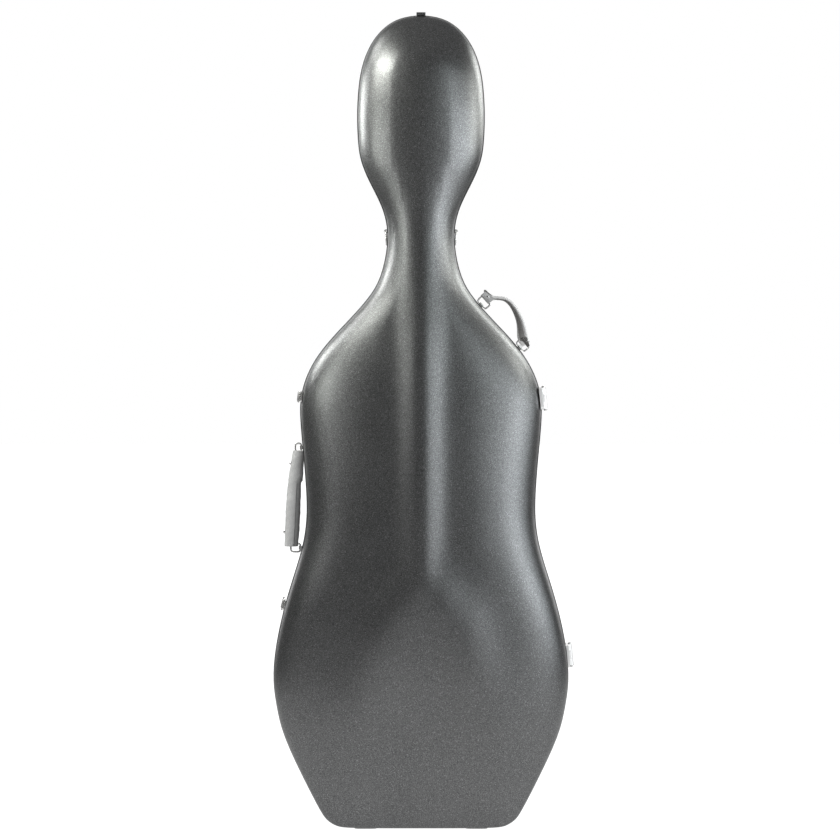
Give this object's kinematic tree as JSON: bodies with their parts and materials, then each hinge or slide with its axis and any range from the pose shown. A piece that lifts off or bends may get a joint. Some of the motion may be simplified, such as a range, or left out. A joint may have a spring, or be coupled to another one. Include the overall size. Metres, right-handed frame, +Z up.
{
  "type": "cello hard case",
  "caption": "Hinged hard-shell case for a full-size cello, with draw latches, carrying handles, strap rings, padded interior and bow holders.",
  "frame": {"origin": "middle of the underside of the bounding box, on the floor", "axes": "+Z up along the case, +Y towards the back, the lid faces -Y, the hinges are on the +X side"},
  "size_m": [0.4968, 0.2764, 1.3345],
  "materials": {
    "shell": "dark graphite with a fine metallic fleck",
    "rim": "satin black edge profile",
    "rubber": "black",
    "fittings": "polished",
    "leather": "light grey, stitched",
    "plush": "charcoal plush",
    "padding": "charcoal plush over foam",
    "wood": "black stained"
  },
  "bodies": {
    "case_back": {"back_shell": "shell", "back_rim": "rim", "gasket": "rubber", "back_lining": "plush", "back_rim_clip": "fittings", "back_right_foot": "rubber", "back_left_foot": "rubber", "lower_right_cushion": "padding", "lower_left_cushion": "padding", "upper_right_cushion": "padding", "upper_left_cushion": "padding", "head_cushion": "padding", "neck_cradle": "padding", "neck_band": "leather", "endpin_block": "wood", "upper_hinge_back_leaf": "fittings", "upper_hinge_pin": "fittings", "lower_hinge_back_leaf": "fittings", "lower_hinge_pin": "fittings", "upper_latch_base": "fittings", "lower_latch_base": "fittings", "side_handle_top_bracket": "fittings", "side_handle_bottom_bracket": "fittings", "shoulder_strap_top_bracket": "fittings", "shoulder_strap_bottom_bracket": "fittings", "left_neck_clip": "fittings", "right_neck_clip": "fittings", "left_lower_clip": "fittings", "right_lower_clip": "fittings"},
    "lid": {"lid_shell": "shell", "lid_rim": "rim", "lid_lining": "plush", "lid_rim_clip": "fittings", "lid_right_foot": "rubber", "lid_left_foot": "rubber", "upper_hinge_lid_leaf": "fittings", "lower_hinge_lid_leaf": "fittings", "upper_latch_keeper": "fittings", "lower_latch_keeper": "fittings", "left_tip_pocket": "padding", "right_tip_pocket": "padding", "left_frog_rest": "padding", "right_frog_rest": "padding"},
    "upper_lever": {"upper_latch_lever": "fittings"},
    "upper_hook": {"upper_latch_hook": "fittings"},
    "lower_lever": {"lower_latch_lever": "fittings"},
    "lower_hook": {"lower_latch_hook": "fittings"},
    "side_handle": {"side_handle_grip": "leather", "side_handle_top_bail": "fittings", "side_handle_bottom_bail": "fittings"},
    "shoulder_handle": {"shoulder_strap": "leather", "shoulder_strap_top_ring": "fittings", "shoulder_strap_bottom_ring": "fittings"},
    "left_neck_loop": {"left_neck_ring": "fittings"},
    "right_neck_loop": {"right_neck_ring": "fittings"},
    "left_lower_loop": {"left_lower_ring": "fittings"},
    "right_lower_loop": {"right_lower_ring": "fittings"},
    "left_toggle": {"left_bow_toggle": "wood"},
    "right_toggle": {"right_bow_toggle": "wood"}
  },
  "joints": [
    {"name": "lid_hinge", "type": "hinge", "parent": "case_back", "child": "lid", "pos_m": [0.2033, -0.0105, 0.70083], "axis": [-0.1016, 0, 0.9948], "range_deg": [0, 120]},
    {"name": "upper_latch_lever", "type": "hinge", "parent": "case_back", "child": "upper_lever", "pos_m": [-0.20055, 0.0015, 0.70355], "axis": [0.1188, 0, 0.9929], "range_deg": [0, 125]},
    {"name": "upper_latch_hook", "type": "hinge", "parent": "upper_lever", "child": "upper_hook", "pos_m": [-0.20085, 0.0105, 0.70358], "axis": [0.1188, 0, 0.9929], "range_deg": [-149, 0]},
    {"name": "lower_latch_lever", "type": "hinge", "parent": "case_back", "child": "lower_lever", "pos_m": [-0.22693, 0.0015, 0.36117], "axis": [0.2541, 0, 0.9672], "range_deg": [0, 125]},
    {"name": "lower_latch_hook", "type": "hinge", "parent": "lower_lever", "child": "lower_hook", "pos_m": [-0.22722, 0.0105, 0.36124], "axis": [0.2541, 0, 0.9672], "range_deg": [-149, 0]},
    {"name": "side_handle_swing", "type": "hinge", "parent": "case_back", "child": "side_handle", "pos_m": [-0.19899, 0.0135, 0.53641], "axis": [0.0094, 0, 1], "range_deg": [-38, 38]},
    {"name": "shoulder_handle_swing", "type": "hinge", "parent": "case_back", "child": "shoulder_handle", "pos_m": [0.13167, 0.0115, 0.82023], "axis": [-0.6732, 0, 0.7394], "range_deg": [-38, 60]},
    {"name": "left_neck_ring_swing", "type": "hinge", "parent": "case_back", "child": "left_neck_loop", "pos_m": [-0.05838, 0.0135, 0.97764], "axis": [0, 1, 0], "range_deg": [0, 150]},
    {"name": "right_neck_ring_swing", "type": "hinge", "parent": "case_back", "child": "right_neck_loop", "pos_m": [0.05838, 0.0135, 0.97764], "axis": [0, -1, 0], "range_deg": [0, 150]},
    {"name": "left_lower_ring_swing", "type": "hinge", "parent": "case_back", "child": "left_lower_loop", "pos_m": [-0.12, 0.13345, 0.15], "axis": [1, 0, 0], "range_deg": [0, 150]},
    {"name": "right_lower_ring_swing", "type": "hinge", "parent": "case_back", "child": "right_lower_loop", "pos_m": [0.12, 0.13345, 0.15], "axis": [1, 0, 0], "range_deg": [0, 150]},
    {"name": "left_toggle_turn", "type": "hinge", "parent": "lid", "child": "left_toggle", "pos_m": [-0.08, -0.0817, 0.178], "axis": [0, -1, 0], "range_deg": [0, 90]},
    {"name": "right_toggle_turn", "type": "hinge", "parent": "lid", "child": "right_toggle", "pos_m": [0.08, -0.0817, 0.178], "axis": [0, 1, 0], "range_deg": [0, 90]}
  ],
  "couplings": [
    {"joint": "upper_latch_hook", "follows": "upper_latch_lever", "ratio": -1.19},
    {"joint": "lower_latch_hook", "follows": "lower_latch_lever", "ratio": -1.19}
  ]
}
